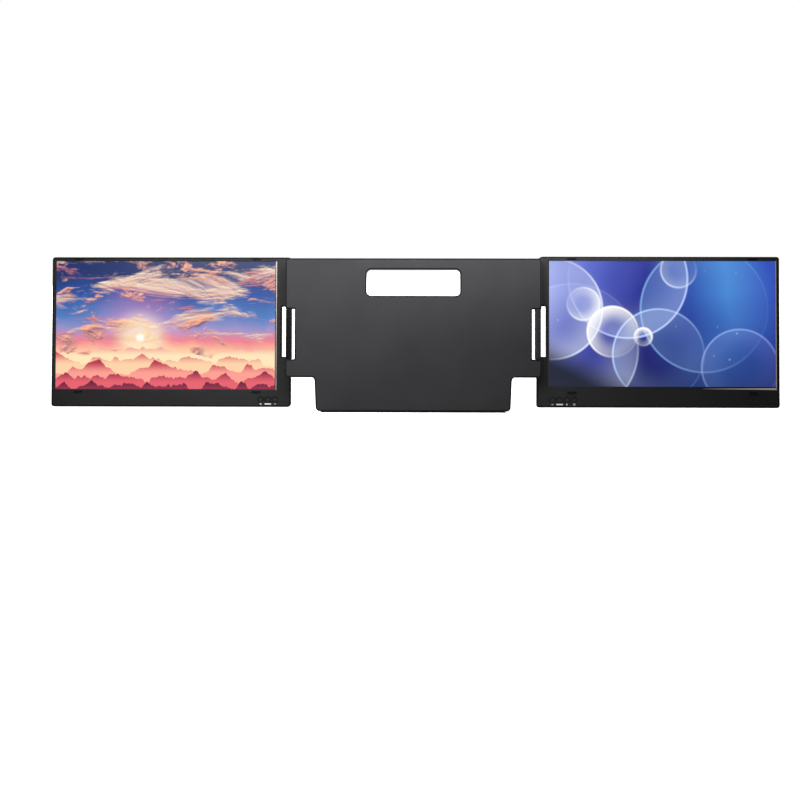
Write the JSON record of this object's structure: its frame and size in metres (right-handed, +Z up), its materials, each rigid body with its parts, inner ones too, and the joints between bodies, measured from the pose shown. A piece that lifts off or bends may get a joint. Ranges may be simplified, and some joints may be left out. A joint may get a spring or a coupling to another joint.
{
  "type": "laptop screen extender",
  "caption": "Folding laptop screen extender: a T-shaped centre plate with a handle opening and a rear kickstand, with a portable screen hinged behind each side of it.",
  "frame": {"origin": "middle of the bounding box on the desk plane that the feet stand on", "axes": "+X to the right across both screens, +Y to the back, +Z up; the extender leans back 15 degrees on its kickstand, fully open"},
  "size_m": [0.9528, 0.0796, 0.1956],
  "materials": {
    "plate_charcoal": "fine matt moulded texture",
    "case_black": "matt moulded texture",
    "bezel_black": "smooth matt",
    "painted_hinge": "satin black paint on cast metal",
    "stand_aluminium": "charcoal anodised sheet",
    "core_aluminium": "rolled sheet",
    "hinge_steel": "ground steel",
    "dark_screws": "blackened steel",
    "socket_steel": "drawn shell",
    "rubber": "soft matt",
    "key_black": "satin",
    "left_display_glass": "lit display behind a matt polariser",
    "right_display_glass": "lit display behind a matt polariser",
    "light_guide_acrylic": "clear acrylic with a dotted back",
    "circuit_board": "solder mask",
    "ribbon_film": "polyimide film"
  },
  "bodies": {
    "plate": {"plate_front_cover": "plate_charcoal", "plate_rear_cover": "case_black", "plate_core_sheet": "core_aluminium", "plate_cover_screws": "dark_screws", "left_plate_bracket": "hinge_steel", "right_plate_bracket": "hinge_steel", "plate_bracket_screws": "dark_screws", "left_plate_pin": "hinge_steel", "right_plate_pin": "hinge_steel", "plate_foot_strip": "rubber", "kickstand_hinge_blocks": "painted_hinge", "kickstand_block_screws": "dark_screws", "kickstand_pins": "hinge_steel"},
    "kickstand": {"kickstand_panel": "stand_aluminium", "kickstand_feet": "rubber"},
    "left_link_body": {"left_link": "painted_hinge", "left_screen_pin": "hinge_steel", "left_link_washers": "hinge_steel"},
    "left_screen": {"left_bezel": "bezel_black", "left_rear_cover": "case_black", "left_display_panel": "left_display_glass", "left_light_guide": "light_guide_acrylic", "left_backlight_tray": "core_aluminium", "left_controller_board": "circuit_board", "left_usb_sockets": "socket_steel", "left_hdmi_socket": "socket_steel", "left_key_board": "circuit_board", "left_display_ribbon": "ribbon_film", "left_screen_bracket": "hinge_steel", "left_bracket_screws": "dark_screws", "left_cover_screws": "dark_screws", "left_bumpers": "rubber"},
    "left_key_body_1": {"left_key_1": "key_black"},
    "left_key_body_2": {"left_key_2": "key_black"},
    "left_key_body_3": {"left_key_3": "key_black"},
    "right_link_body": {"right_link": "painted_hinge", "right_screen_pin": "hinge_steel", "right_link_washers": "hinge_steel"},
    "right_screen": {"right_bezel": "bezel_black", "right_rear_cover": "case_black", "right_display_panel": "right_display_glass", "right_light_guide": "light_guide_acrylic", "right_backlight_tray": "core_aluminium", "right_controller_board": "circuit_board", "right_usb_sockets": "socket_steel", "right_hdmi_socket": "socket_steel", "right_key_board": "circuit_board", "right_display_ribbon": "ribbon_film", "right_screen_bracket": "hinge_steel", "right_bracket_screws": "dark_screws", "right_cover_screws": "dark_screws", "right_bumpers": "rubber"},
    "right_key_body_1": {"right_key_1": "key_black"},
    "right_key_body_2": {"right_key_2": "key_black"},
    "right_key_body_3": {"right_key_3": "key_black"},
    "right_key_body_4": {"right_key_4": "key_black"}
  },
  "joints": [
    {"name": "kickstand_hinge", "type": "hinge", "parent": "plate", "child": "kickstand", "pos_m": [0, 0.00341, 0.13593], "axis": [1, 0, 0], "range_deg": [-27.63, 42]},
    {"name": "left_plate_hinge", "type": "hinge", "parent": "plate", "child": "left_link_body", "pos_m": [-0.1618, -0.01103, 0.09787], "axis": [0, 0.2588, 0.9659], "range_deg": [0, 180]},
    {"name": "left_screen_hinge", "type": "hinge", "parent": "left_link_body", "child": "left_screen", "pos_m": [-0.1632, 0.00991, 0.0964], "axis": [0, 0.2588, 0.9659], "range_deg": [-90, 0]},
    {"name": "left_key_1_press", "type": "slide", "parent": "left_screen", "child": "left_key_body_1", "axis": [0, 0.9659, -0.2588], "range_m": [0, 0.0006], "stiffness_N_per_m": 1500},
    {"name": "left_key_2_press", "type": "slide", "parent": "left_screen", "child": "left_key_body_2", "axis": [0, 0.9659, -0.2588], "range_m": [0, 0.0006], "stiffness_N_per_m": 1500},
    {"name": "left_key_3_press", "type": "slide", "parent": "left_screen", "child": "left_key_body_3", "axis": [0, 0.9659, -0.2588], "range_m": [0, 0.0006], "stiffness_N_per_m": 1500},
    {"name": "right_plate_hinge", "type": "hinge", "parent": "plate", "child": "right_link_body", "pos_m": [0.1618, -0.01103, 0.09787], "axis": [0, -0.2588, -0.9659], "range_deg": [0, 180]},
    {"name": "right_screen_hinge", "type": "hinge", "parent": "right_link_body", "child": "right_screen", "pos_m": [0.1632, 0.00005, 0.09904], "axis": [0, -0.2588, -0.9659], "range_deg": [-90, 0]},
    {"name": "right_key_1_press", "type": "slide", "parent": "right_screen", "child": "right_key_body_1", "axis": [0, 0.9659, -0.2588], "range_m": [0, 0.0006], "stiffness_N_per_m": 1500},
    {"name": "right_key_2_press", "type": "slide", "parent": "right_screen", "child": "right_key_body_2", "axis": [0, 0.9659, -0.2588], "range_m": [0, 0.0006], "stiffness_N_per_m": 1500},
    {"name": "right_key_3_press", "type": "slide", "parent": "right_screen", "child": "right_key_body_3", "axis": [0, 0.9659, -0.2588], "range_m": [0, 0.0006], "stiffness_N_per_m": 1500},
    {"name": "right_key_4_press", "type": "slide", "parent": "right_screen", "child": "right_key_body_4", "axis": [0, 0.9659, -0.2588], "range_m": [0, 0.0006], "stiffness_N_per_m": 1500}
  ]
}
